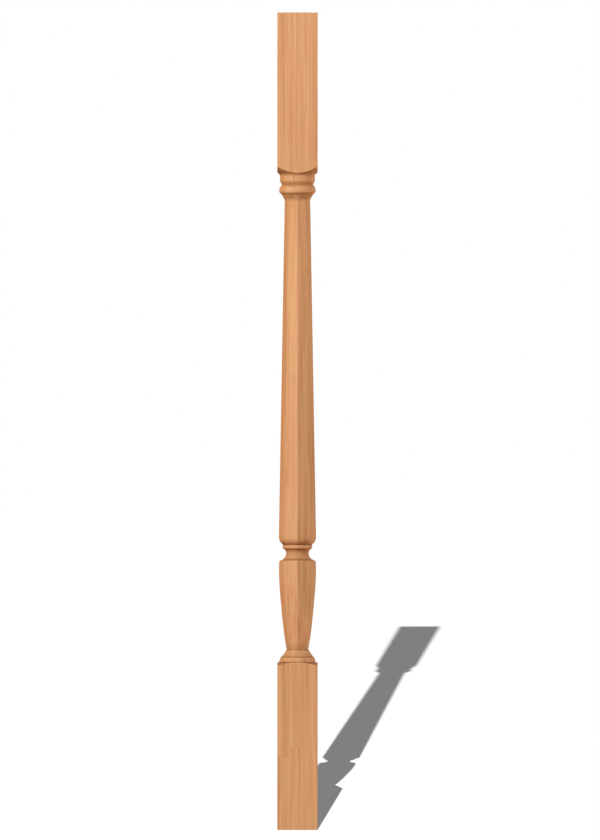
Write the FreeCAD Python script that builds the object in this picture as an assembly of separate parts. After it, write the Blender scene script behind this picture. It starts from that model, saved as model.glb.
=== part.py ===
import FreeCAD, Part
import math
import os

# Stair baluster cut from one square stick of wood: a square block at each end, turned mouldings,
# and an eight-sided vase and shaft whose flats run out into the turned work.
# Millimetres, +Z up, origin at the middle of the bottom face.

# Stick
LENGTH = 900.0
BLOCK_WIDTH = 44.5
BLOCK_EDGE_ROUND = 0.8

# Square blocks, each measured along the middle of a face, and the turned slope of their shoulders
BOTTOM_BLOCK_HEIGHT = 184.4
BOTTOM_SHOULDER_ANGLE = 22.0
BOTTOM_SHOULDER_FILLET = 2.8
TOP_BLOCK_HEIGHT = 176.3
TOP_SHOULDER_ANGLE = 35.5
TOP_SHOULDER_FILLET = 3.8

# Base moulding between the bottom block and the vase
BASE_RING_RADIUS = 19.46
BASE_RING_HEIGHT = 4.9
BASE_RING_EDGE_DEPTH = 1.5
BASE_RING_EDGE_HEIGHT = 2.4
BASE_COVE_HEIGHT = 8.9
BASE_COVE_HOLLOW = 0.3

# Vase
VASE_FOOT_RADIUS = 11.94
VASE_WAIST_RADIUS = 16.98
VASE_WAIST_HEIGHT = 36.5
VASE_CHEST_RADIUS = 19.32
VASE_CHEST_HEIGHT = 62.7
VASE_BELLY_RADIUS = 20.45
VASE_BELLY_BELOW_TOP = 11.0
VASE_EDGE_RADIUS = 20.3
VASE_HEIGHT = 98.0
VASE_EDGE_DEPTH = 2.8
VASE_EDGE_HEIGHT = 3.2

# Neck and the small ring on it
NECK_RADIUS = 12.5
NECK_HEIGHT = 12.5
NECK_NARROWEST_HEIGHT = 7.3
RING_RADIUS = 16.4
RING_HEIGHT = 4.2
RING_EDGE_ROUND = 0.5

# Shaft, whose length is what the other parts leave of the stick
SHAFT_FOOT_RADIUS = 15.6
SHAFT_FOOT_HEIGHT = 8.2
SHAFT_WIDEST_RADIUS = 20.5
SHAFT_TOP_RADIUS = 14.1

# Top mouldings between the shaft and the top block
TOP_COVE_HEIGHT = 11.6
BEAD_UNDERSIDE_RADIUS = 19.55
BEAD_NOSE_HEIGHT = 1.8
BEAD_RADIUS = 20.2
BEAD_BACK_HEIGHT = 7.0
QUIRK_RADIUS = 17.1
TOP_BEVEL_HEIGHT = 3.9
TOP_RING_RADIUS = 19.35
TOP_RING_HEIGHT = 7.3

# Flats
FLAT_COUNT = 8
ARRIS_LAND_ANGLE = 2.6
SHAFT_FLAT_PAST_TAPER = 3.2
SHAFT_FLAT_RUN_OUT_RADIUS = 3.2
VASE_FLAT_BELOW_FOOT = 1.2

half_width = BLOCK_WIDTH / 2.0
# Anything at this radius is outside the stick
outside = BLOCK_WIDTH
flat_spacing = 360.0 / FLAT_COUNT
# A flat lies at this share of the turned radius, so that a narrow round land is left at each arris
flat_share = math.cos(math.radians((flat_spacing - ARRIS_LAND_ANGLE) / 2.0))

# Levels up the stick
bottom_slope = math.tan(math.radians(BOTTOM_SHOULDER_ANGLE))
z_base_ring = BOTTOM_BLOCK_HEIGHT + (half_width - BASE_RING_RADIUS) * bottom_slope
z_base_cove = z_base_ring + BASE_RING_HEIGHT
z_vase = z_base_cove + BASE_COVE_HEIGHT
z_neck = z_vase + VASE_HEIGHT
z_ring = z_neck + NECK_HEIGHT
z_shaft = z_ring + RING_HEIGHT
z_widest = z_shaft + SHAFT_FOOT_HEIGHT

# Levels down from the top
top_slope = math.tan(math.radians(TOP_SHOULDER_ANGLE))
z_top_block = LENGTH - TOP_BLOCK_HEIGHT
z_top_ring_end = z_top_block - (half_width - TOP_RING_RADIUS) * top_slope
z_top_ring = z_top_ring_end - TOP_RING_HEIGHT
z_quirk = z_top_ring - TOP_BEVEL_HEIGHT
z_bead = z_quirk - BEAD_BACK_HEIGHT
z_bead_underside = z_bead - BEAD_NOSE_HEIGHT
z_shaft_top = z_bead_underside - TOP_COVE_HEIGHT


def point(radius, height):
    return FreeCAD.Vector(radius, 0.0, height)


def line(start, end):
    return Part.LineSegment(start, end).toShape()


def arc(start, middle, end):
    return Part.Arc(start, middle, end).toShape()


def bowed(start, end, bow):
    """Arc whose middle stands off the straight line by bow, to the left of the way it runs."""
    along = (end - start).normalize()
    left = FreeCAD.Vector(-along.z, 0.0, along.x)
    return arc(start, (start + end) * 0.5 + left * bow, end)


def arc_middle(upright, other):
    """Middle of the arc that runs straight up or down at one end and passes through the other."""
    run = other - upright
    radius = run.Length ** 2 / (2.0 * abs(run.x))
    centre = upright + FreeCAD.Vector(math.copysign(radius, run.x), 0.0, 0.0)
    towards = ((upright - centre) + (other - centre)).normalize()
    return centre + towards * radius


def filleted(before, corner, after, radius):
    """Start, middle and end of a fillet at a corner between two straight lines."""
    back = (before - corner).normalize()
    ahead = (after - corner).normalize()
    half_angle = back.getAngle(ahead) / 2.0
    reach = radius / math.tan(half_angle)
    inward = (back + ahead).normalize()
    middle = corner + inward * (radius / math.sin(half_angle) - radius)
    return corner + back * reach, middle, corner + ahead * reach


def vase_side(share):
    """Side of the vase from its foot to its widest edge, at a share of the turned radius."""
    curve = Part.BSplineCurve()
    curve.interpolate([
        point(share * VASE_FOOT_RADIUS, z_vase),
        point(share * VASE_WAIST_RADIUS, z_vase + VASE_WAIST_HEIGHT),
        point(share * VASE_CHEST_RADIUS, z_vase + VASE_CHEST_HEIGHT),
        point(share * VASE_BELLY_RADIUS, z_neck - VASE_BELLY_BELOW_TOP),
        point(share * VASE_EDGE_RADIUS, z_neck - VASE_EDGE_HEIGHT),
    ])
    return [curve.toShape()]


def shaft_side(share):
    """Rounded foot and taper of the shaft, at a share of the turned radius."""
    foot = point(share * SHAFT_FOOT_RADIUS, z_shaft)
    widest = point(share * SHAFT_WIDEST_RADIUS, z_widest)
    top = point(share * SHAFT_TOP_RADIUS, z_shaft_top)
    return [arc(foot, arc_middle(widest, foot), widest), line(widest, top)]


def turned_blank():
    """Everything the lathe cuts. It is left outside the stick where the blocks stay square."""
    low_outside = point(outside, BOTTOM_BLOCK_HEIGHT - (outside - half_width) * bottom_slope)
    base_ring_low = point(BASE_RING_RADIUS, z_base_ring)
    base_ring_high = point(BASE_RING_RADIUS, z_base_cove - BASE_RING_EDGE_HEIGHT)
    base_cove_low = point(BASE_RING_RADIUS - BASE_RING_EDGE_DEPTH, z_base_cove)
    low_fillet = filleted(low_outside, base_ring_low, base_ring_high, BOTTOM_SHOULDER_FILLET)
    vase_foot = point(VASE_FOOT_RADIUS, z_vase)
    vase_edge = point(VASE_EDGE_RADIUS, z_neck - VASE_EDGE_HEIGHT)
    vase_top = point(VASE_EDGE_RADIUS - VASE_EDGE_DEPTH, z_neck)
    neck = point(NECK_RADIUS, z_neck + NECK_NARROWEST_HEIGHT)
    ring_low = point(RING_RADIUS - RING_EDGE_ROUND, z_ring)
    ring_side_low = point(RING_RADIUS, z_ring + RING_EDGE_ROUND)
    ring_side_high = point(RING_RADIUS, z_shaft - RING_EDGE_ROUND)
    ring_high = point(RING_RADIUS - RING_EDGE_ROUND, z_shaft)
    shaft_foot = point(SHAFT_FOOT_RADIUS, z_shaft)
    shaft_top = point(SHAFT_TOP_RADIUS, z_shaft_top)
    bead_underside = point(BEAD_UNDERSIDE_RADIUS, z_bead_underside)
    bead = point(BEAD_RADIUS, z_bead)
    quirk = point(QUIRK_RADIUS, z_quirk)
    top_ring_low = point(TOP_RING_RADIUS, z_top_ring)
    top_ring_high = point(TOP_RING_RADIUS, z_top_ring_end)
    high_outside = point(outside, z_top_block + (outside - half_width) * top_slope)
    high_fillet = filleted(top_ring_low, top_ring_high, high_outside, TOP_SHOULDER_FILLET)

    edges = [
        line(point(0.0, 0.0), point(outside, 0.0)),
        line(point(outside, 0.0), low_outside),
        line(low_outside, low_fillet[0]),
        arc(*low_fillet),
        line(low_fillet[2], base_ring_high),
        arc(base_ring_high, arc_middle(base_ring_high, base_cove_low), base_cove_low),
        bowed(base_cove_low, vase_foot, BASE_COVE_HOLLOW),
    ]
    edges += vase_side(1.0)
    edges += [
        arc(vase_edge, arc_middle(vase_edge, vase_top), vase_top),
        arc(vase_top, arc_middle(neck, vase_top), neck),
        arc(neck, arc_middle(neck, ring_low), ring_low),
        arc(ring_low, arc_middle(ring_side_low, ring_low), ring_side_low),
        line(ring_side_low, ring_side_high),
        arc(ring_side_high, arc_middle(ring_side_high, ring_high), ring_high),
        line(ring_high, shaft_foot),
    ]
    edges += shaft_side(1.0)
    edges += [
        arc(shaft_top, arc_middle(shaft_top, bead_underside), bead_underside),
        arc(bead_underside, arc_middle(bead, bead_underside), bead),
        arc(bead, arc_middle(bead, quirk), quirk),
        line(quirk, top_ring_low),
        line(top_ring_low, high_fillet[0]),
        arc(*high_fillet),
        line(high_fillet[2], high_outside),
        line(high_outside, point(outside, LENGTH)),
        line(point(outside, LENGTH), point(0.0, LENGTH)),
        line(point(0.0, LENGTH), point(0.0, 0.0)),
    ]
    face = Part.Face(Part.Wire(edges))
    return face.revolve(FreeCAD.Vector(0, 0, 0), FreeCAD.Vector(0, 0, 1), 360.0)


def square_stick():
    corner = FreeCAD.Vector(-half_width, -half_width, 0.0)
    stick = Part.makeBox(BLOCK_WIDTH, BLOCK_WIDTH, LENGTH, corner)
    long_edges = [edge for edge in stick.Edges if abs(edge.Length - LENGTH) < 1e-6]
    return stick.makeFillet(BLOCK_EDGE_ROUND, long_edges)


def flat_cutter(edges):
    """Wood that one flat removes: the outline of the flat carried straight across it."""
    face = Part.Face(Part.Wire(edges))
    face.translate(FreeCAD.Vector(0.0, -half_width, 0.0))
    return face.extrude(FreeCAD.Vector(0.0, BLOCK_WIDTH, 0.0))


def vase_flat():
    foot = point(flat_share * VASE_FOOT_RADIUS, z_vase)
    ledge = foot - FreeCAD.Vector(0.0, 0.0, VASE_FLAT_BELOW_FOOT)
    edge = point(flat_share * VASE_EDGE_RADIUS, z_neck - VASE_EDGE_HEIGHT)
    above = point(flat_share * VASE_EDGE_RADIUS, z_neck + NECK_NARROWEST_HEIGHT)
    edges = [
        line(point(outside, ledge.z), ledge),
        line(ledge, foot),
    ]
    edges += vase_side(flat_share)
    edges += [
        line(edge, above),
        line(above, point(outside, above.z)),
        line(point(outside, above.z), point(outside, ledge.z)),
    ]
    return flat_cutter(edges)


def shaft_flat():
    foot = point(flat_share * SHAFT_FOOT_RADIUS, z_shaft)
    top = point(flat_share * SHAFT_TOP_RADIUS, z_shaft_top)
    end = top + FreeCAD.Vector(0.0, 0.0, SHAFT_FLAT_PAST_TAPER)
    run_out = end + FreeCAD.Vector(SHAFT_FLAT_RUN_OUT_RADIUS, 0.0, SHAFT_FLAT_RUN_OUT_RADIUS)
    edges = [line(point(outside, z_shaft), foot)]
    edges += shaft_side(flat_share)
    edges += [
        line(top, end),
        arc(end, arc_middle(end, run_out), run_out),
        line(run_out, point(outside, run_out.z)),
        line(point(outside, run_out.z), point(outside, z_shaft)),
    ]
    return flat_cutter(edges)


baluster = square_stick().common(turned_blank())
for cutter in (vase_flat(), shaft_flat()):
    for number in range(FLAT_COUNT):
        turned_cutter = cutter.copy()
        angle = (number + 0.5) * flat_spacing
        turned_cutter.rotate(FreeCAD.Vector(0, 0, 0), FreeCAD.Vector(0, 0, 1), angle)
        baluster = baluster.cut(turned_cutter)

os.makedirs("parts", exist_ok=True)
baluster.exportStep("parts/baluster.step")
print("solids", len(baluster.Solids), "valid", baluster.isValid(), "volume", round(baluster.Volume))
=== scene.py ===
import bmesh
import bpy
import math
import numpy as np
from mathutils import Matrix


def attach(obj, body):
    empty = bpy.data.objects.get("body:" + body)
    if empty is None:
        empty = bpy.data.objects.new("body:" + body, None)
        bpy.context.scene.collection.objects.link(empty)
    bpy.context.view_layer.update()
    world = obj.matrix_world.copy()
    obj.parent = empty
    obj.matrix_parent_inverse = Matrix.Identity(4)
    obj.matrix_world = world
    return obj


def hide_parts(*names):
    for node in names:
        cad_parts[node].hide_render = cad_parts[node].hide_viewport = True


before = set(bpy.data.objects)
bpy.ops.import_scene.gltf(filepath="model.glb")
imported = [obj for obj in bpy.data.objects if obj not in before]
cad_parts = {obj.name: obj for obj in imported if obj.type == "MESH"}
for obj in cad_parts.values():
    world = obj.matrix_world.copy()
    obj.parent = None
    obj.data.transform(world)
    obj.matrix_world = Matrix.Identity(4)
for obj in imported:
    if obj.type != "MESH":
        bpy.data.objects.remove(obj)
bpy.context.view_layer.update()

# Sizes of the baluster in millimetres, the same as those the solid is built from
LENGTH = 900.0
HALF_WIDTH = 22.25
BLOCK_EDGE_ROUND = 0.8
BOTTOM_BLOCK_HEIGHT = 184.4
BOTTOM_SLOPE = math.tan(math.radians(22.0))
TOP_BLOCK_HEIGHT = 176.3
TOP_SLOPE = math.tan(math.radians(35.5))
BOTTOM_SHOULDER_FILLET = 2.8
TOP_SHOULDER_FILLET = 3.8
BASE_RING_RADIUS = 19.46
BASE_RING_HEIGHT = 4.9
BASE_RING_EDGE_DEPTH = 1.5
BASE_RING_EDGE_HEIGHT = 2.4
BASE_COVE_HEIGHT = 8.9
BASE_COVE_HOLLOW = 0.3
VASE_FOOT_RADIUS = 11.94
VASE_WAIST = (16.98, 36.5)
VASE_CHEST = (19.32, 62.7)
VASE_BELLY = (20.45, 87.0)
VASE_EDGE_RADIUS = 20.3
VASE_HEIGHT = 98.0
VASE_EDGE_DEPTH = 2.8
VASE_EDGE_HEIGHT = 3.2
NECK_RADIUS = 12.5
NECK_HEIGHT = 12.5
NECK_NARROWEST_HEIGHT = 7.3
RING_RADIUS = 16.4
RING_HEIGHT = 4.2
RING_EDGE_ROUND = 0.5
SHAFT_FOOT_RADIUS = 15.6
SHAFT_FOOT_HEIGHT = 8.2
SHAFT_WIDEST_RADIUS = 20.5
SHAFT_TOP_RADIUS = 14.1
TOP_COVE_HEIGHT = 11.6
BEAD_UNDERSIDE_RADIUS = 19.55
BEAD_NOSE_HEIGHT = 1.8
BEAD_RADIUS = 20.2
BEAD_BACK_HEIGHT = 7.0
QUIRK_RADIUS = 17.1
TOP_BEVEL_HEIGHT = 3.9
TOP_RING_RADIUS = 19.35
TOP_RING_HEIGHT = 7.3
FLAT_SPACING = 45.0
ARRIS_LAND_ANGLE = 2.6
VASE_FLAT_BELOW_FOOT = 1.2

# Sanding takes this much off every sharp edge, but no more than a share of the step beside it
EASE = 0.22
EASE_SHARE = 0.45
EASE_STEPS = (0.0, 0.33, 0.67, 1.0)
# A bend of the outline by more than this many degrees is sharp
SHARP_TURN = 12.0
# The scoops where the shaft flats run out are sanded gentler than they are cut,
# so that the flats fade into the cove
SHAFT_FLAT_PAST_TAPER = 1.6
SHAFT_FLAT_RUN_OUT_RADIUS = 6.0
RUN_OUT_EASE = 1.32

# Shade is painted where the outline lies this deep between what stands out above and below within this reach
HOLLOW_DEPTH = 3.0
HOLLOW_REACH = 9.0
# Shade is painted as well under what stands out by more than OVERHANG_FREE within this reach above
OVERHANG_FREE = 0.3
OVERHANG_DEPTH = 1.8
OVERHANG_REACH = 2.0
# Shade is painted into hollow corners, and the finish is rubbed off sharp ones, as far as this from them
GROOVE_REACH = 1.6
EDGE_REACH = 0.9
# Degrees from an upright edge within which it is rubbed fully, and those over which that fades
BLOCK_CORNER_RUB = (0.6, 1.4)
ARRIS_RUB = (0.7, 1.3)

# Places of the middle of an eased edge of a block, and how far and how strongly the rubbing spreads from it
EDGE_MIDDLE = 0.3 * EASE
CREASE_MIDDLE = 0.15 * EASE
END_SPREAD = 1.6 * EASE
END_SPREAD_RUB = 0.35
SIDE_SPREAD = 4.0 * EASE
SIDE_SPREAD_RUB = 0.25
# Where the rows of a block lie, as shares of the way over its end, its side and its shoulder
END_SHARES = (0.02, 0.25, 0.5, 0.75, 0.9)
SIDE_SHARES = (0.02, 0.06, 0.12, 0.2, 0.3, 0.4, 0.5, 0.6, 0.7, 0.8, 0.88, 0.94, 0.98)
SHOULDER_SHARES = (0.2, 0.45, 0.7, 0.9)

# Fineness of the mesh: steps up the vase, degrees off each arris, steps across a flat, height of a sample
VASE_STEPS = 60
ARRIS_STEPS = (0.35, 0.7, 1.05, ARRIS_LAND_ANGLE / 2.0, 1.9)
FLAT_STEPS = 14
SAMPLE_HEIGHT = 0.2
# Corners closer than this many metres become one, and faces that meet at more than these degrees stay sharp
WELD_DISTANCE = 1e-7
SHARP_FACE_ANGLE = 40.0
# A corner within SAME_HEIGHT of a level lies on it, and a flat's lowest row may lie HEIGHT_SLACK too low
SAME_HEIGHT = 0.01
HEIGHT_SLACK = 1e-6
# This depth stands for no flat at all
NO_FLAT = 1000.0
MM_PER_METRE = 1000.0

FLATS = round(360.0 / FLAT_SPACING)
FLAT_SHARE = math.cos(math.radians((FLAT_SPACING - ARRIS_LAND_ANGLE) / 2.0))

z_base_ring = BOTTOM_BLOCK_HEIGHT + (HALF_WIDTH - BASE_RING_RADIUS) * BOTTOM_SLOPE
z_base_cove = z_base_ring + BASE_RING_HEIGHT
z_vase = z_base_cove + BASE_COVE_HEIGHT
z_neck = z_vase + VASE_HEIGHT
z_ring = z_neck + NECK_HEIGHT
z_shaft = z_ring + RING_HEIGHT
z_widest = z_shaft + SHAFT_FOOT_HEIGHT
z_top_block = LENGTH - TOP_BLOCK_HEIGHT
z_top_ring_end = z_top_block - (HALF_WIDTH - TOP_RING_RADIUS) * TOP_SLOPE
z_top_ring = z_top_ring_end - TOP_RING_HEIGHT
z_quirk = z_top_ring - TOP_BEVEL_HEIGHT
z_bead = z_quirk - BEAD_BACK_HEIGHT
z_bead_underside = z_bead - BEAD_NOSE_HEIGHT
z_shaft_top = z_bead_underside - TOP_COVE_HEIGHT


def straight(start, end, steps):
    """Straight line from start to end. A point is its distance from the axis and its height."""
    start, end = np.array(start), np.array(end)
    return [start + (end - start) * step / steps for step in range(steps + 1)]


def arc_between(centre, start, end, steps):
    """Shorter arc about a centre from start to end."""
    start_arm = np.array(start) - centre
    end_arm = np.array(end) - centre
    first = math.atan2(start_arm[1], start_arm[0])
    turn = math.atan2(end_arm[1], end_arm[0]) - first
    turn = (turn + math.pi) % (2.0 * math.pi) - math.pi
    radius = np.hypot(*start_arm)
    angles = [first + turn * step / steps for step in range(steps + 1)]
    return [centre + radius * np.array([math.cos(angle), math.sin(angle)]) for angle in angles]


def upright_arc(upright, other, steps):
    """Arc that runs straight up or down at its first point and ends at the other."""
    upright = np.array(upright)
    run = np.array(other) - upright
    radius = run @ run / (2.0 * abs(run[0]))
    centre = upright + np.array([math.copysign(radius, run[0]), 0.0])
    return arc_between(centre, upright, other, steps)


def bowed(start, end, bow, steps):
    """Hollow arc whose middle stands off the straight line by bow, to the left of the way it runs."""
    start, end = np.array(start), np.array(end)
    along = end - start
    chord = np.hypot(*along)
    left = np.array([-along[1], along[0]]) / chord
    radius = (chord * chord / 4.0 + bow * bow) / (2.0 * bow)
    return arc_between((start + end) / 2.0 + left * (bow - radius), start, end, steps)


def fillet(before, corner, after, radius, steps):
    """Fillet at a corner between two straight lines."""
    before, corner, after = np.array(before), np.array(corner), np.array(after)
    back = (before - corner) / np.hypot(*(before - corner))
    ahead = (after - corner) / np.hypot(*(after - corner))
    half_angle = math.acos(float(back @ ahead)) / 2.0
    setback = radius / math.tan(half_angle)
    inward = (back + ahead) / np.hypot(*(back + ahead))
    centre = corner + inward * radius / math.sin(half_angle)
    return arc_between(centre, corner + back * setback, corner + ahead * setback, steps)


def vase_side(share):
    """Side of the vase from foot to widest edge, a smooth curve through its named points."""
    heights = np.array([0.0, VASE_WAIST[1], VASE_CHEST[1], VASE_BELLY[1], VASE_HEIGHT - VASE_EDGE_HEIGHT])
    radii = np.array([VASE_FOOT_RADIUS, VASE_WAIST[0], VASE_CHEST[0], VASE_BELLY[0], VASE_EDGE_RADIUS])
    curve = np.polyfit(heights, radii, len(heights) - 1)
    rises = np.linspace(0.0, heights[-1], VASE_STEPS + 1)
    return [np.array([share * np.polyval(curve, rise), z_vase + rise]) for rise in rises]


def shaft_side(share):
    """Rounded foot of the shaft and the taper above it."""
    foot = (share * SHAFT_FOOT_RADIUS, z_shaft)
    widest = (share * SHAFT_WIDEST_RADIUS, z_widest)
    top = (share * SHAFT_TOP_RADIUS, z_shaft_top)
    return upright_arc(widest, foot, steps=22)[::-1], straight(widest, top, steps=44)


# The turned outline from the shoulder of the bottom block to that of the top block, one list per stretch
low_outer = (2.0 * HALF_WIDTH, BOTTOM_BLOCK_HEIGHT - HALF_WIDTH * BOTTOM_SLOPE)
low_shoulder = (BASE_RING_RADIUS, z_base_ring)
base_ring_high = (BASE_RING_RADIUS, z_base_cove - BASE_RING_EDGE_HEIGHT)
base_cove_low = (BASE_RING_RADIUS - BASE_RING_EDGE_DEPTH, z_base_cove)
vase_foot = (VASE_FOOT_RADIUS, z_vase)
vase_edge = (VASE_EDGE_RADIUS, z_neck - VASE_EDGE_HEIGHT)
vase_top = (VASE_EDGE_RADIUS - VASE_EDGE_DEPTH, z_neck)
neck = (NECK_RADIUS, z_neck + NECK_NARROWEST_HEIGHT)
ring_low = (RING_RADIUS - RING_EDGE_ROUND, z_ring)
ring_side_low = (RING_RADIUS, z_ring + RING_EDGE_ROUND)
ring_side_high = (RING_RADIUS, z_shaft - RING_EDGE_ROUND)
ring_high = (RING_RADIUS - RING_EDGE_ROUND, z_shaft)
shaft_foot, shaft_taper = shaft_side(1.0)
shaft_top = (SHAFT_TOP_RADIUS, z_shaft_top)
bead_underside = (BEAD_UNDERSIDE_RADIUS, z_bead_underside)
bead = (BEAD_RADIUS, z_bead)
quirk = (QUIRK_RADIUS, z_quirk)
top_ring_low = (TOP_RING_RADIUS, z_top_ring)
high_shoulder = (TOP_RING_RADIUS, z_top_ring_end)
high_outer = (2.0 * HALF_WIDTH, z_top_block + HALF_WIDTH * TOP_SLOPE)
low_fillet = fillet(low_outer, low_shoulder, base_ring_high, BOTTOM_SHOULDER_FILLET, steps=8)
high_fillet = fillet(top_ring_low, high_shoulder, high_outer, TOP_SHOULDER_FILLET, steps=8)
stretches = [
    low_fillet,
    straight(low_fillet[-1], base_ring_high, steps=3),
    upright_arc(base_ring_high, base_cove_low, steps=8),
    bowed(base_cove_low, vase_foot, BASE_COVE_HOLLOW, steps=18),
    vase_side(1.0),
    upright_arc(vase_edge, vase_top, steps=10),
    upright_arc(neck, vase_top, steps=16)[::-1],
    upright_arc(neck, ring_low, steps=12),
    upright_arc(ring_side_low, ring_low, steps=5)[::-1],
    straight(ring_side_low, ring_side_high, steps=4),
    upright_arc(ring_side_high, ring_high, steps=5),
    straight(ring_high, shaft_foot[0], steps=3),
    shaft_foot,
    shaft_taper,
    upright_arc(shaft_top, bead_underside, steps=34),
    upright_arc(bead, bead_underside, steps=8)[::-1],
    upright_arc(bead, quirk, steps=18),
    straight(quirk, top_ring_low, steps=8),
    straight(top_ring_low, high_fillet[0], steps=6),
    high_fillet,
]


def eased_corner(before, corner, after):
    """Small curve in place of a sharp corner between the step before it and the step after it."""
    back = corner - before / np.hypot(*before) * min(EASE, EASE_SHARE * np.hypot(*before))
    ahead = corner + after / np.hypot(*after) * min(EASE, EASE_SHARE * np.hypot(*after))
    return [
        (1 - share) ** 2 * back + 2 * share * (1 - share) * corner + share * share * ahead
        for share in EASE_STEPS
    ]


def joined_outline(parts):
    """One outline with its sharp corners eased, and a list of those corners with their turns."""
    points = list(parts[0])
    sharp = []
    for part in parts[1:]:
        before = points[-1] - points[-2]
        after = part[1] - part[0]
        cross = before[0] * after[1] - before[1] * after[0]
        turn = math.degrees(math.asin(np.clip(cross / np.hypot(*before) / np.hypot(*after), -1, 1)))
        if abs(turn) > SHARP_TURN:
            corner = points.pop()
            sharp.append((corner, turn))
            points += eased_corner(before, corner, after)
        points += part[1:]
    return np.array(points), sharp


outline, corners = joined_outline(stretches)
vase_ledge = z_vase - VASE_FLAT_BELOW_FOOT
above_ledge = int(np.argmax(outline[:, 1] > vase_ledge))
around_ledge = outline[above_ledge - 1:above_ledge + 1]
ledge = np.array([np.interp(vase_ledge, around_ledge[:, 1], around_ledge[:, 0]), vase_ledge])
outline = np.insert(outline, above_ledge, ledge, axis=0)
# At the foot of the vase the hollow corner is the ledge under its flats, and the quirk gets no painted
# crease shade
corners = [
    (ledge if abs(corner[1] - z_vase) < SAME_HEIGHT else corner, turn)
    for corner, turn in corners if abs(corner[1] - z_quirk) > SAME_HEIGHT
]

# The middle of the flats, as distance from the axis against height
vase_flat_foot = np.array([FLAT_SHARE * VASE_FOOT_RADIUS, vase_ledge])
vase_flat_top = np.array([FLAT_SHARE * VASE_EDGE_RADIUS, z_neck + NECK_NARROWEST_HEIGHT])
vase_flat = np.array([vase_flat_foot] + vase_side(FLAT_SHARE) + [vase_flat_top])
flat_foot, flat_taper = shaft_side(FLAT_SHARE)
flat_end = np.array([FLAT_SHARE * SHAFT_TOP_RADIUS, z_shaft_top + SHAFT_FLAT_PAST_TAPER])
run_out = flat_end + SHAFT_FLAT_RUN_OUT_RADIUS
shaft_flat = np.array(flat_foot + flat_taper[1:] + upright_arc(flat_end, run_out, steps=24))


def flat_depth(height):
    """Distance from the axis to the middle of a flat at a height."""
    for flat in (vase_flat, shaft_flat):
        if flat[0][1] - HEIGHT_SLACK <= height <= flat[-1][1]:
            return float(np.interp(height, flat[:, 1], flat[:, 0]))
    return NO_FLAT


# Directions round the stick, closer together at the arrises and at the corners of the blocks
near_arris = [-step for step in ARRIS_STEPS[::-1]] + [0.0] + list(ARRIS_STEPS)
flat_width = FLAT_SPACING - 2.0 * ARRIS_STEPS[-1]
across_flat = [ARRIS_STEPS[-1] + flat_width * step / FLAT_STEPS for step in range(1, FLAT_STEPS)]
directions = np.radians(np.array([
    arris * FLAT_SPACING + offset for arris in range(FLATS) for offset in near_arris + across_flat
]))
off_flat = np.abs((directions % math.radians(FLAT_SPACING)) - math.radians(FLAT_SPACING / 2.0))
off_arris = np.degrees(math.radians(FLAT_SPACING / 2.0) - off_flat)


def square_reach(off_side):
    """Distance from the axis to the side of the square stick, whose corners are rounded."""
    flat_side = HALF_WIDTH / np.cos(off_side)
    inner = HALF_WIDTH - BLOCK_EDGE_ROUND
    along = inner * (np.cos(off_side) + np.sin(off_side))
    rounded = along + np.sqrt(np.maximum(along ** 2 - 2.0 * inner ** 2 + BLOCK_EDGE_ROUND ** 2, 0.0))
    return np.where(flat_side * np.sin(off_side) > inner, rounded, flat_side)


def rubbed_near(off_edge, full, fade):
    """How far an upright edge is rubbed at some degrees from it, from 0 to 1."""
    return np.clip(1.0 - (off_edge - full) / fade, 0.0, 1.0)


off_block_side = np.abs(((directions + math.pi / 4.0) % (math.pi / 2.0)) - math.pi / 4.0)
reach = square_reach(off_block_side)
block_corner = rubbed_near(np.degrees(math.pi / 4.0 - off_block_side), *BLOCK_CORNER_RUB)
faint_rub = np.maximum(SIDE_SPREAD_RUB, block_corner)

# Rows of the mesh from the bottom up. Each holds radii, heights, and these values: rubbed edge wear, and
# painted shade in creases, hollows and under overhangs
SHADE_AND_WEAR_VALUES = ("edge", "crease_shade", "hollow", "overhang_shade")
rows = []


def add_row(radii, heights, edge=0.0, crease_shade=0.0, hollow=0.0, overhang_shade=0.0):
    """One row of the mesh. Each value is given once for the whole row or once for each direction."""
    values = (radii, heights, edge, crease_shade, hollow, overhang_shade)
    rows.append([np.broadcast_to(value, directions.shape) for value in values])


def add_block(face_level, slope, end_level, inner_radius):
    """Rows from the middle of a block's end to its edge, along its sides and in over its shoulder."""
    side = 1.0 if end_level < face_level else -1.0
    for share in END_SHARES:
        add_row(reach * share, end_level)
    add_row(reach - END_SPREAD, end_level, edge=END_SPREAD_RUB)
    add_row(reach - EASE, end_level, edge=1.0)
    add_row(reach - EDGE_MIDDLE, end_level + side * EDGE_MIDDLE, edge=1.0)
    add_row(reach, end_level + side * EASE, edge=1.0)
    add_row(reach, end_level + side * SIDE_SPREAD, edge=faint_rub)
    crease = face_level - side * (reach - HALF_WIDTH) * slope
    for share in SIDE_SHARES:
        add_row(reach, end_level + (crease - end_level) * share, edge=block_corner)
    add_row(reach, crease - side * SIDE_SPREAD, edge=faint_rub)
    add_row(reach, crease - side * EASE, edge=1.0)
    add_row(reach - EDGE_MIDDLE, crease - side * CREASE_MIDDLE, edge=1.0)
    add_row(reach - EASE, crease + side * EASE * slope, edge=1.0)
    add_row(reach - SIDE_SPREAD, crease + side * SIDE_SPREAD * slope, edge=SIDE_SPREAD_RUB)
    for share in SHOULDER_SHARES:
        radius = reach - SIDE_SPREAD + (inner_radius - reach + SIDE_SPREAD) * share
        add_row(radius, face_level - side * (radius - HALF_WIDTH) * slope)


# Samples of the turned outline and of the planed surface at even heights
even_heights = np.arange(outline[0][1], outline[-1][1], SAMPLE_HEIGHT)
even_radii = np.interp(even_heights, outline[:, 1], outline[:, 0])
even_surface = np.array([
    np.minimum(radius, flat_depth(height) / np.cos(off_flat))
    for radius, height in zip(even_radii, even_heights)
])


def near_corner(point, convex):
    """How close a point of the outline is to a convex or hollow corner, from 0 to 1."""
    corner_reach = EDGE_REACH if convex else GROOVE_REACH
    best = 0.0
    for corner, turn in corners:
        if (turn > 0.0) == convex:
            best = max(best, 1.0 - np.hypot(*(point - corner)) / corner_reach)
    return best


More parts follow.
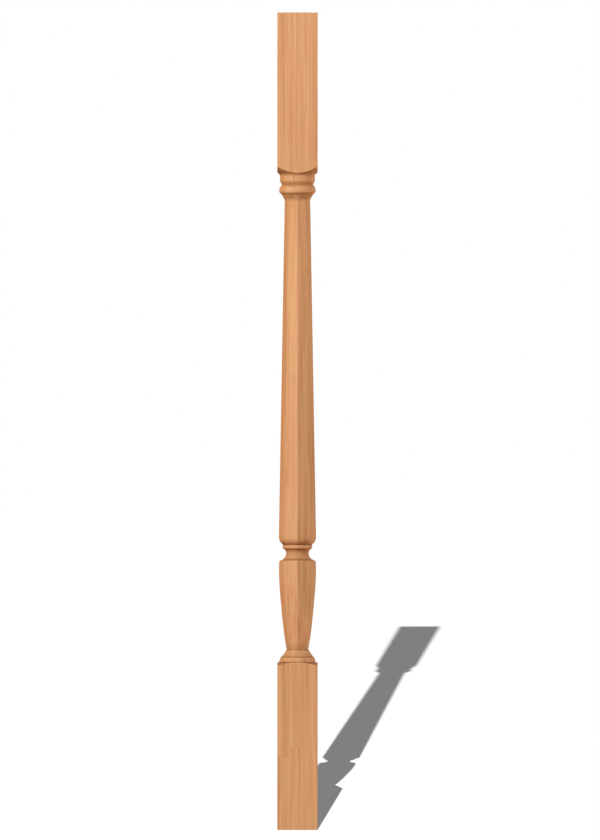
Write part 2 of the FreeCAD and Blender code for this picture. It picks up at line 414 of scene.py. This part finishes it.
def hollow_at(radius, height):
    """How deep a point of the outline lies between what stands out above and below, from 0 to 1."""
    half_reach = HOLLOW_REACH / 2.0
    above = even_radii[np.abs(even_heights - height - half_reach) < half_reach]
    below = even_radii[np.abs(even_heights - height + half_reach) < half_reach]
    between = min(above.max(initial=radius), below.max(initial=radius))
    return np.clip((between - radius) / HOLLOW_DEPTH, 0.0, 1.0)


def overhang_at(surface, height):
    """How far the wood just above stands out over a row of the surface, from 0 to 1."""
    just_above = (even_heights > height) & (even_heights < height + OVERHANG_REACH)
    over = even_surface[just_above].max(axis=0, initial=0.0)
    return np.clip((over - surface - OVERHANG_FREE) / OVERHANG_DEPTH, 0.0, 1.0)


def sanded_run_out(turned, planed, height):
    """Surface where a shaft flat runs out, blended over the lip so that it fades into the cove."""
    ease = RUN_OUT_EASE * min(1.0, (height - z_shaft_top) / SHAFT_FLAT_PAST_TAPER)
    blend = np.clip(0.5 + (planed - turned) / (2.0 * ease), 0.0, 1.0)
    return planed + (turned - planed) * blend - ease * blend * (1.0 - blend)


def add_turned_rows():
    """Rows of the turned outline with the flats cut into it, from the lower shoulder to the upper one."""
    was_round = True
    for radius, height in outline:
        point = np.array([radius, height])
        # Rubbed edge wear at convex corners; painted shade in hollow corners, in hollows and under overhangs
        edge = near_corner(point, convex=True)
        crease_shade = near_corner(point, convex=False)
        hollow = hollow_at(radius, height)
        depth = flat_depth(height)
        turned = np.full(directions.shape, radius)
        # Flats begin on a ledge, which lies between a round row and a planed row of the same height
        if was_round and depth < NO_FLAT:
            add_row(turned, height, edge, crease_shade, hollow)
        was_round = depth == NO_FLAT
        planed = depth / np.cos(off_flat)
        surface = np.minimum(turned, planed)
        if z_shaft_top < height <= run_out[1]:
            surface = sanded_run_out(turned, planed, height)
        overhang_shade = overhang_at(surface, height)
        # The planed run-out of the shaft flats gets no painted shade under overhangs
        if height > z_shaft_top:
            overhang_shade = np.where(planed < turned, 0.0, overhang_shade)
        if depth < radius:
            edge = np.maximum(edge, rubbed_near(off_arris, *ARRIS_RUB))
        add_row(surface, height, edge, crease_shade, hollow, overhang_shade)


add_block(BOTTOM_BLOCK_HEIGHT, BOTTOM_SLOPE, 0.0, outline[0][0])
add_turned_rows()
lower_rows = len(rows)
add_block(z_top_block, TOP_SLOPE, LENGTH, outline[-1][0])
rows[lower_rows:] = rows[lower_rows:][::-1]


def row_faces(row_count, count):
    """Faces between the rows, and one over each end."""
    faces = []
    for low in range(0, (row_count - 1) * count, count):
        high = low + count
        for place in range(count):
            following = (place + 1) % count
            faces.append((low + place, low + following, high + following, high + place))
    faces.append(tuple(range(count - 1, -1, -1)))
    faces.append(tuple(range((row_count - 1) * count, row_count * count)))
    return faces


def build_mesh():
    """One closed mesh from the rows, which also says where shade is painted and where the finish is rubbed
    off.
    """
    # The values after radii and heights are rubbed edge wear and painted shade
    radii, heights, *finish = np.array(rows).swapaxes(0, 1)
    points = np.stack([radii * np.cos(directions), radii * np.sin(directions), heights], axis=-1)
    mesh = bpy.data.meshes.new("baluster_wood")
    vertices = points.reshape(-1, 3) / MM_PER_METRE
    mesh.from_pydata(vertices.tolist(), [], row_faces(len(rows), len(directions)))
    mesh.update()
    for name, values in zip(SHADE_AND_WEAR_VALUES, finish):
        attribute = mesh.attributes.new(name, "FLOAT", "POINT")
        attribute.data.foreach_set("value", values.astype(np.float32).reshape(-1))
    # Rows that share a height meet on the flats, so the corners that coincide become one
    welded = bmesh.new()
    welded.from_mesh(mesh)
    bmesh.ops.remove_doubles(welded, verts=welded.verts, dist=WELD_DISTANCE)
    welded.to_mesh(mesh)
    welded.free()
    mesh.polygons.foreach_set("use_smooth", np.ones(len(mesh.polygons), dtype=bool))
    mesh.set_sharp_from_angle(angle=math.radians(SHARP_FACE_ANGLE))
    return mesh


baluster = bpy.data.objects.new("baluster_wood", build_mesh())
bpy.context.scene.collection.objects.link(baluster)
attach(baluster, "root")
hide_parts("baluster")


def srgb(r, g, b):
    """Linear colour from the usual 0 to 255 values."""
    def channel(v):
        v /= 255.0
        return v / 12.92 if v <= 0.04045 else ((v + 0.055) / 1.055) ** 2.4
    return (channel(r), channel(g), channel(b), 1.0)


class Graph:
    """Short ways to fill an emptied node tree."""

    # Places of the colour sockets of a mix node, whose names are shared with its other sockets
    MIX_A = 6
    MIX_B = 7
    MIX_RESULT = 2

    def __init__(self, tree):
        self.tree = tree
        tree.nodes.clear()

    def node(self, kind, **settings):
        made = self.tree.nodes.new(kind)
        for key, value in settings.items():
            setattr(made, key, value)
        return made

    def feed(self, socket, value):
        if isinstance(value, bpy.types.NodeSocket):
            self.tree.links.new(value, socket)
        else:
            socket.default_value = value

    def maths(self, operation, a, b=None, c=None, clamp=False):
        made = self.node("ShaderNodeMath", operation=operation, use_clamp=clamp)
        for socket, value in zip(made.inputs, (a, b, c)):
            if value is not None:
                self.feed(socket, value)
        return made.outputs[0]

    def add_share(self, total, value, share, clamp=False):
        """Total plus a share of a value."""
        return self.maths("MULTIPLY_ADD", value, share, total, clamp=clamp)

    def add_swing(self, total, noise, share, clamp=False):
        """Total plus a share of how far a noise lies from its middle."""
        return self.add_share(total, self.maths("SUBTRACT", noise, 0.5), share, clamp=clamp)

    def vector(self, operation, a, b=None, scale=None):
        made = self.node("ShaderNodeVectorMath", operation=operation)
        self.feed(made.inputs[0], a)
        if b is not None:
            self.feed(made.inputs[1], b)
        if scale is not None:
            self.feed(made.inputs["Scale"], scale)
        return made.outputs["Value"] if operation == "LENGTH" else made.outputs["Vector"]

    def axes(self, vector):
        made = self.node("ShaderNodeSeparateXYZ")
        self.feed(made.inputs[0], vector)
        return made.outputs

    def noise(self, place, size, detail=2.0, roughness=0.5, colour=False):
        """Noise whose spots have a size across the grain and one along it."""
        across_grain, along_grain = size
        made = self.node("ShaderNodeTexNoise", noise_dimensions="3D")
        scale = (1.0 / across_grain, 1.0 / across_grain, 1.0 / along_grain)
        self.feed(made.inputs["Vector"], self.vector("MULTIPLY", place, scale))
        made.inputs["Scale"].default_value = 1.0
        made.inputs["Detail"].default_value = detail
        made.inputs["Roughness"].default_value = roughness
        return made.outputs["Color" if colour else "Fac"]

    def ramp(self, value, stops):
        made = self.node("ShaderNodeValToRGB")
        elements = made.color_ramp.elements
        while len(elements) < len(stops):
            elements.new(0.5)
        for element, (place, level) in zip(elements, stops):
            element.position = place
            element.color = level if isinstance(level, tuple) else (level, level, level, 1.0)
        self.feed(made.inputs["Fac"], value)
        return made.outputs["Color"]

    def mix(self, factor, a, b, blend="MIX"):
        made = self.node("ShaderNodeMix", data_type="RGBA", blend_type=blend, clamp_factor=True)
        self.feed(made.inputs["Factor"], factor)
        self.feed(made.inputs[self.MIX_A], a)
        self.feed(made.inputs[self.MIX_B], b)
        return made.outputs[self.MIX_RESULT]

    def tinted(self, factor, colour, tint):
        """Colour multiplied by a tint as far as the factor says."""
        return self.mix(factor, colour, self.mix(1.0, colour, tint, "MULTIPLY"))

    def rescale(self, value, low, high, to_low=0.0, to_high=1.0):
        made = self.node("ShaderNodeMapRange", interpolation_type="SMOOTHSTEP")
        for socket, level in zip(made.inputs, (value, low, high, to_low, to_high)):
            self.feed(socket, level)
        return made.outputs["Result"]

    def attribute(self, name):
        return self.node("ShaderNodeAttribute", attribute_name=name).outputs["Fac"]

    def mixed_shaders(self, factor, a, b):
        made = self.node("ShaderNodeMixShader")
        self.feed(made.inputs[0], factor)
        self.feed(made.inputs[1], a)
        self.feed(made.inputs[2], b)
        return made.outputs[0]


# Grain of the wood, with its sizes in millimetres across the grain and along it
WANDER_SIZE = (55.0, 300.0)
WANDER_REACH = 9.0
STREAK_SIZE = (2.7, 190.0)
FIBRE_SIZE = (0.55, 42.0)
PORE_SIZE = (0.34, 6.0)
PORE_RANGE = (0.64, 0.76)
TONE_SIZE = (40.0, 230.0)
TINT_PATCH_SIZE = (13.0, 48.0)
TINT_PATCH_RANGE = (0.35, 0.65)
# Growth rings lie about a pith outside the stick, and are darkest late in the year
PITH = (-90.0, 56.0, 0.0)
RING_WIDTH = 5.4
RING_UNEVEN_SIZE = (6.25, 6.25)
RING_UNEVENNESS = 2.2
RING_DARKNESS = [(0.0, 0.12), (0.35, 0.05), (0.72, 0.55), (0.9, 1.0), (1.0, 0.12)]
RING_PATCH_SIZE = (14.0, 260.0)
RING_PATCH_RANGE = (0.3, 0.7)
# Where along the log the stick was cut, and how far on in the year its first ring stands
GRAIN_START = -250.0
RING_PHASE = 0.8
# The foot of the stick is another length of wood, glued on with fingers
FINGER_PITCH = 25.4
FINGER_START = 8.5
FINGER_LENGTH = 11.0
FINGER_LOW = 80.2
FOOT_GRAIN_SHIFT = (3.0, -2.0, 170.0)
# The glue shows faintly, and fades out between these distances from the joint
GLUE_FADE = (0.1, 0.9)
GLUE_STRENGTH = 0.1

# Shares of darkness in the wood
PLAIN_DARKNESS = 0.23
RING_SHARE = 0.36
STREAK_SHARE = 1.1
FIBRE_SHARE = 0.42
TONE_SHARE = 0.3

# Colours of the wood from light to dark
WOOD_COLOURS = [
    (0.0, srgb(234, 181, 135)),
    (0.35, srgb(219, 164, 119)),
    (0.7, srgb(197, 139, 95)),
    (1.0, srgb(164, 106, 66)),
]
# Wood nearer the pith is redder, which fades out between these distances from it
HEART_FADE = (94.0, 107.0)
HEART_STRENGTH = 0.9
HEART_TINT = (1.0, 0.86, 0.7, 1.0)
# Soft patches lean to pink or to yellow, and pores and glue are darker
PINK_TINT = (1.02, 0.975, 0.985, 1.0)
YELLOW_TINT = (0.99, 1.01, 0.98, 1.0)
PORE_COLOUR = srgb(132, 82, 50)
PORE_STRENGTH = 0.32
GLUE_COLOUR = srgb(150, 94, 58)

# End grain darkens where the surface tilts this far. This is partly real end grain and partly painted shade:
# full on up-facing surfaces, less dark on undersides
END_GRAIN_TILT = (0.42, 0.9)
END_GRAIN_SIDES = (-0.2, 0.2)
UNDERSIDE_STRENGTH = 0.3
END_GRAIN_AND_SHADE_TINT = (0.62, 0.54, 0.45, 1.0)
# How strongly shade is painted into creases, hollows and under overhangs, and how thin the finish is rubbed
# on edges, which depends on the fibre
CREASE_SHADE_STRENGTH = 0.65
HOLLOW_SHADE_STRENGTH = 0.5
OVERHANG_SHADE_STRENGTH = 0.3
PAINTED_SHADE_TINT = (0.6, 0.54, 0.46, 1.0)
RUB_FIBRE = (0.38, 0.62)
RUB_STRENGTH = (0.02, 0.16)
RUBBED_COLOUR = srgb(236, 178, 126)

# Relief of the grain and gloss of the finish
FIBRE_RELIEF = 0.5
PORE_RELIEF = -0.9
RING_RELIEF = -0.25
RELIEF_STRENGTH = 0.22
RELIEF_HEIGHT = 0.0002
ROUGHNESS = 0.5
FIBRE_ROUGHNESS = 0.25
END_GRAIN_ROUGHNESS = 0.2
PORE_ROUGHNESS = 0.12
FINISH_IOR = 1.46
FINISH_SPECULAR = 0.04


def places_in_log(graph, mm):
    """Place in the log before and after the grain's wander, and how far a point lies under the glue."""
    cut = graph.vector("ADD", mm, (0.0, 0.0, GRAIN_START))
    wander = graph.noise(cut, WANDER_SIZE, colour=True)
    wander = graph.vector("SCALE", graph.vector("SUBTRACT", wander, (0.5, 0.5, 0.5)), scale=WANDER_REACH)
    axes = graph.axes(mm)
    finger = graph.maths("DIVIDE", graph.maths("ADD", axes["X"], FINGER_START), FINGER_PITCH)
    is_finger = graph.maths("LESS_THAN", graph.maths("FRACT", finger), 0.5)
    glue_level = graph.add_share(FINGER_LOW, is_finger, FINGER_LENGTH)
    under_glue = graph.maths("SUBTRACT", glue_level, axes["Z"])
    in_foot = graph.maths("GREATER_THAN", under_glue, 0.0)
    grown = graph.vector("ADD", cut, wander)
    grown = graph.vector("ADD", grown, graph.vector("SCALE", FOOT_GRAIN_SHIFT, scale=in_foot))
    return cut, grown, under_glue


def growth_rings(graph, grown):
    """Darkness of the growth rings, and the distance from the pith."""
    from_pith = graph.vector("MULTIPLY", graph.vector("SUBTRACT", grown, PITH), (1.0, 1.0, 0.0))
    distance = graph.vector("LENGTH", from_pith)
    uneven = graph.noise(from_pith, RING_UNEVEN_SIZE)
    late = graph.add_share(RING_PHASE, uneven, RING_UNEVENNESS)
    years = graph.maths("ADD", graph.maths("DIVIDE", distance, RING_WIDTH), late)
    return graph.ramp(graph.maths("FRACT", years), RING_DARKNESS), distance


def bare_wood(graph, mm):
    """Colour of the wood before the finish, and its rings, fibres and pores."""
    cut, grown, under_glue = places_in_log(graph, mm)
    ring, distance = growth_rings(graph, grown)
    ring_strength = graph.rescale(graph.noise(grown, RING_PATCH_SIZE), *RING_PATCH_RANGE)
    streak = graph.noise(grown, STREAK_SIZE, detail=3.0, roughness=0.55)
    fibre = graph.noise(grown, FIBRE_SIZE, detail=3.0, roughness=0.6)
    pore = graph.rescale(graph.noise(grown, PORE_SIZE, detail=1.0), *PORE_RANGE)
    tone = graph.noise(cut, TONE_SIZE, detail=1.0)

    darkness = graph.add_share(PLAIN_DARKNESS, graph.maths("MULTIPLY", ring, ring_strength), RING_SHARE)
    darkness = graph.add_swing(darkness, streak, STREAK_SHARE)
    darkness = graph.add_swing(darkness, fibre, FIBRE_SHARE)
    darkness = graph.add_swing(darkness, tone, TONE_SHARE, clamp=True)
    colour = graph.ramp(darkness, WOOD_COLOURS)

    colour = graph.tinted(graph.rescale(distance, *HEART_FADE, HEART_STRENGTH, 0.0), colour, HEART_TINT)
    patch = graph.rescale(graph.noise(grown, TINT_PATCH_SIZE, detail=1.0), *TINT_PATCH_RANGE)
    colour = graph.mix(1.0, colour, graph.mix(patch, PINK_TINT, YELLOW_TINT), "MULTIPLY")
    colour = graph.mix(graph.maths("MULTIPLY", pore, PORE_STRENGTH), colour, PORE_COLOUR)
    glue = graph.rescale(graph.maths("ABSOLUTE", under_glue), *GLUE_FADE, GLUE_STRENGTH, 0.0)
    return graph.mix(glue, colour, GLUE_COLOUR), ring, fibre, pore


def wood_with_painted_shade_and_wear(graph, colour, end_grain, upward, fibre):
    """Colour with end grain darkened, partly as painted shade, with shade painted into creases, hollows and
    under overhangs, and with the finish rubbed thin on the edges.
    """
    # Darker end grain, partly real and partly painted shade that is full on up-facing surfaces
    side_strength = graph.rescale(upward, *END_GRAIN_SIDES, UNDERSIDE_STRENGTH, 1.0)
    end_grain_and_shade = graph.maths("MULTIPLY", end_grain, side_strength)
    colour = graph.tinted(end_grain_and_shade, colour, END_GRAIN_AND_SHADE_TINT)
    # Painted shade in hollows, creases and under overhangs
    painted_shade = graph.maths("MULTIPLY", graph.attribute("hollow"), HOLLOW_SHADE_STRENGTH)
    painted_shade = graph.add_share(painted_shade, graph.attribute("crease_shade"), CREASE_SHADE_STRENGTH)
    painted_shade = graph.add_share(painted_shade, graph.attribute("overhang_shade"), OVERHANG_SHADE_STRENGTH)
    colour = graph.tinted(painted_shade, colour, PAINTED_SHADE_TINT)
    thin = graph.rescale(fibre, *RUB_FIBRE, *RUB_STRENGTH)
    rubbed = graph.maths("MULTIPLY", graph.attribute("edge"), thin)
    return graph.mix(rubbed, colour, RUBBED_COLOUR)


def wood_material():
    """Straight-grained reddish-tan wood under a thin satin finish. Its grain agrees on all sides."""
    material = bpy.data.materials.new("satin_wood")
    material.use_nodes = True
    graph = Graph(material.node_tree)
    place = graph.node("ShaderNodeTexCoord")
    mm = graph.vector("SCALE", place.outputs["Object"], scale=MM_PER_METRE)
    colour, ring, fibre, pore = bare_wood(graph, mm)
    upward = graph.axes(place.outputs["Normal"])["Z"]
    end_grain = graph.rescale(graph.maths("ABSOLUTE", upward), *END_GRAIN_TILT)
    colour = wood_with_painted_shade_and_wear(graph, colour, end_grain, upward, fibre)

    relief = graph.add_share(graph.maths("MULTIPLY", pore, PORE_RELIEF), fibre, FIBRE_RELIEF)
    relief = graph.add_share(relief, ring, RING_RELIEF)
    bump = graph.node("ShaderNodeBump")
    bump.inputs["Strength"].default_value = RELIEF_STRENGTH
    bump.inputs["Distance"].default_value = RELIEF_HEIGHT
    graph.feed(bump.inputs["Height"], relief)

    roughness = graph.add_swing(ROUGHNESS, fibre, FIBRE_ROUGHNESS)
    roughness = graph.add_share(roughness, end_grain, END_GRAIN_ROUGHNESS)
    roughness = graph.add_share(roughness, pore, PORE_ROUGHNESS, clamp=True)

    shader = graph.node("ShaderNodeBsdfPrincipled")
    shader.inputs["IOR"].default_value = FINISH_IOR
    shader.inputs["Specular IOR Level"].default_value = FINISH_SPECULAR
    graph.feed(shader.inputs["Base Color"], colour)
    graph.feed(shader.inputs["Roughness"], roughness)
    graph.feed(shader.inputs["Normal"], bump.outputs["Normal"])
    output = graph.node("ShaderNodeOutputMaterial")
    graph.feed(output.inputs["Surface"], shader.outputs["BSDF"])
    return material


baluster.data.materials.append(wood_material())

# Stage: a pale floor under the baluster, in metres
FLOOR_SIZE = 80.0
FLOOR_COLOUR = 0.9
FLOOR_BOUNCE = 0.03
AMBIENT = 0.025
WHITE = (1.0, 1.0, 1.0, 1.0)
floor_mesh = bpy.data.meshes.new("floor")
floor_half = FLOOR_SIZE / 2.0
floor_corners = [(x * floor_half, y * floor_half, 0.0) for x, y in ((-1, -1), (1, -1), (1, 1), (-1, 1))]
floor_mesh.from_pydata(floor_corners, [], [(0, 1, 2, 3)])
floor = bpy.data.objects.new("floor", floor_mesh)
bpy.context.scene.collection.objects.link(floor)


def seen_directly(graph):
    """1 for what the camera sees, also in a reflection or through glass."""
    path = graph.node("ShaderNodeLightPath")
    seen = graph.maths("MAXIMUM", path.outputs["Is Camera Ray"], path.outputs["Is Glossy Ray"])
    return graph.maths("MAXIMUM", seen, path.outputs["Is Transmission Ray"])


def floor_material():
    """Pale to the camera, and nearly black to the light that would bounce onto the baluster."""
    material = bpy.data.materials.new("pale_floor")
    material.use_nodes = True
    graph = Graph(material.node_tree)
    seen = graph.node("ShaderNodeBsdfDiffuse")
    seen.inputs["Color"].default_value = (FLOOR_COLOUR, FLOOR_COLOUR, FLOOR_COLOUR, 1.0)
    bounced = graph.node("ShaderNodeBsdfDiffuse")
    bounced.inputs["Color"].default_value = (FLOOR_BOUNCE, FLOOR_BOUNCE, FLOOR_BOUNCE, 1.0)
    output = graph.node("ShaderNodeOutputMaterial")
    mixed = graph.mixed_shaders(seen_directly(graph), bounced.outputs[0], seen.outputs[0])
    graph.feed(output.inputs["Surface"], mixed)
    return material


def studio_world():
    """White to the camera, and a faint even light to everything else."""
    world = bpy.data.worlds.new("studio")
    world.use_nodes = True
    graph = Graph(world.node_tree)
    fill = graph.node("ShaderNodeBackground")
    fill.inputs["Color"].default_value = WHITE
    fill.inputs["Strength"].default_value = AMBIENT
    white = graph.node("ShaderNodeBackground")
    white.inputs["Color"].default_value = WHITE
    white.inputs["Strength"].default_value = 1.0
    output = graph.node("ShaderNodeOutputWorld")
    mixed = graph.mixed_shaders(seen_directly(graph), fill.outputs[0], white.outputs[0])
    graph.feed(output.inputs["Surface"], mixed)
    return world


floor_mesh.materials.append(floor_material())
bpy.context.scene.world = studio_world()

# Lamps, in metres, watts and degrees. Azimuth 0 is in front of the baluster and turns to its right
KEY_SIZE = 2.5
KEY_POWER = 425.0
KEY_AZIMUTH = -27.0
KEY_DISTANCE = 6.0
KEY_HEIGHT = 3.6
SIDE_FILL_COLOUR = (1.0, 0.92, 0.78)
WARM_FILL_COLOUR = (1.0, 0.56, 0.2)
WARM_FILLS = 4
MIDDLE_HEIGHT = LENGTH / 2.0 / MM_PER_METRE
CAMERA_ELEVATION = 0.5
# The shadow lies back and to the right. For each metre of height it rises and shifts this far in the picture
SHADOW_RISE = 0.2487
SHADOW_SHIFT = 0.1497
SHADOW_LEVEL = 0.215
FLOOR_LEVEL = 1.02


def light_only(lamp, only=(), leave_out=()):
    """Let a lamp light only some objects, or all but some, which then don't stand in its way either."""
    group = bpy.data.collections.new(lamp.name + "_lights")
    for shown in list(only) + list(leave_out):
        group.objects.link(shown)
    lamp.light_linking.receiver_collection = group
    if leave_out:
        lamp.light_linking.blocker_collection = group
    for entry in group.collection_objects:
        entry.light_linking.link_state = "EXCLUDE" if leave_out else "INCLUDE"


def key_light():
    """Large round lamp in front, above and to the left, aimed at the middle of the baluster."""
    lamp = bpy.data.lights.new("key", "AREA")
    lamp.shape = "DISK"
    lamp.size = KEY_SIZE
    lamp.energy = KEY_POWER
    made = bpy.data.objects.new("key", lamp)
    bpy.context.scene.collection.objects.link(made)
    azimuth = math.radians(KEY_AZIMUTH)
    made.location = (KEY_DISTANCE * math.sin(azimuth), -KEY_DISTANCE * math.cos(azimuth), KEY_HEIGHT)
    fall = math.atan2(KEY_HEIGHT - MIDDLE_HEIGHT, KEY_DISTANCE)
    made.rotation_euler = (math.pi / 2.0 - fall, 0.0, azimuth)
    light_only(made, leave_out=[floor])


def sun(name, azimuth, elevation, strength, angle, colour=(1.0, 1.0, 1.0), only=(), leave_out=()):
    """Far lamp, the softer the wider its angle."""
    lamp = bpy.data.lights.new(name, "SUN")
    lamp.energy = strength
    lamp.angle = math.radians(angle)
    lamp.color = colour
    made = bpy.data.objects.new(name, lamp)
    bpy.context.scene.collection.objects.link(made)
    made.rotation_euler = (math.pi / 2.0 - math.radians(elevation), 0.0, math.radians(azimuth))
    light_only(made, only, leave_out)


def floor_lights():
    """Lamps for the floor alone: one throws the shadow and one fills it."""
    back_run = SHADOW_RISE / math.sin(math.radians(CAMERA_ELEVATION))
    azimuth = -math.degrees(math.atan2(SHADOW_SHIFT, back_run))
    elevation = math.degrees(math.atan2(1.0, math.hypot(back_run, SHADOW_SHIFT)))
    strength = (FLOOR_LEVEL - SHADOW_LEVEL) / FLOOR_COLOUR * math.pi / math.sin(math.radians(elevation))
    sun("floor_lamp", azimuth, elevation, strength, angle=0.017, only=[floor])
    fill_strength = (SHADOW_LEVEL / FLOOR_COLOUR - AMBIENT) * math.pi
    sun("floor_fill", azimuth=0.0, elevation=90.0, strength=fill_strength, angle=1.0, only=[floor])


key_light()
sun("side_fill", azimuth=112.0, elevation=-8.0, strength=1.9, angle=20.0,
    colour=SIDE_FILL_COLOUR, leave_out=[floor])
sun("back_fill", azimuth=180.0, elevation=12.0, strength=2.3, angle=30.0, leave_out=[floor])
for turn in range(WARM_FILLS):
    sun(f"warm_{turn}", azimuth=45.0 + 360.0 / WARM_FILLS * turn, elevation=-20.0, strength=0.4, angle=90.0,
        colour=WARM_FILL_COLOUR, leave_out=[floor])
floor_lights()

# Camera, nearly level and without perspective
# A pixel's size is in metres, and the middle of the baluster falls on the pixel MIDDLE_PIXEL
PICTURE_SIZE = (600.0, 840.0)
PIXEL = 0.0011012
MIDDLE_PIXEL = (297.46, 421.2)
CAMERA_DISTANCE = 6.0
CAMERA_CLIP = 100.0


def place_camera():
    """Put the camera in front of the baluster."""
    camera_data = bpy.data.cameras.new("camera")
    camera_data.type = "ORTHO"
    camera_data.ortho_scale = PICTURE_SIZE[1] * PIXEL
    camera_data.clip_end = CAMERA_CLIP
    camera = bpy.data.objects.new("camera", camera_data)
    bpy.context.scene.collection.objects.link(camera)
    tilt = math.radians(CAMERA_ELEVATION)
    aim_right = (PICTURE_SIZE[0] / 2.0 - MIDDLE_PIXEL[0]) * PIXEL
    aim_up = (MIDDLE_PIXEL[1] - PICTURE_SIZE[1] / 2.0) * PIXEL
    aim = np.array([aim_right, 0.0, MIDDLE_HEIGHT])
    aim = aim + aim_up * np.array([0.0, math.sin(tilt), math.cos(tilt)])
    camera.location = aim + CAMERA_DISTANCE * np.array([0.0, -math.cos(tilt), math.sin(tilt)])
    camera.rotation_euler = (math.pi / 2.0 - tilt, 0.0, 0.0)
    bpy.context.scene.camera = camera


place_camera()
bpy.context.scene.view_settings.view_transform = "Standard"
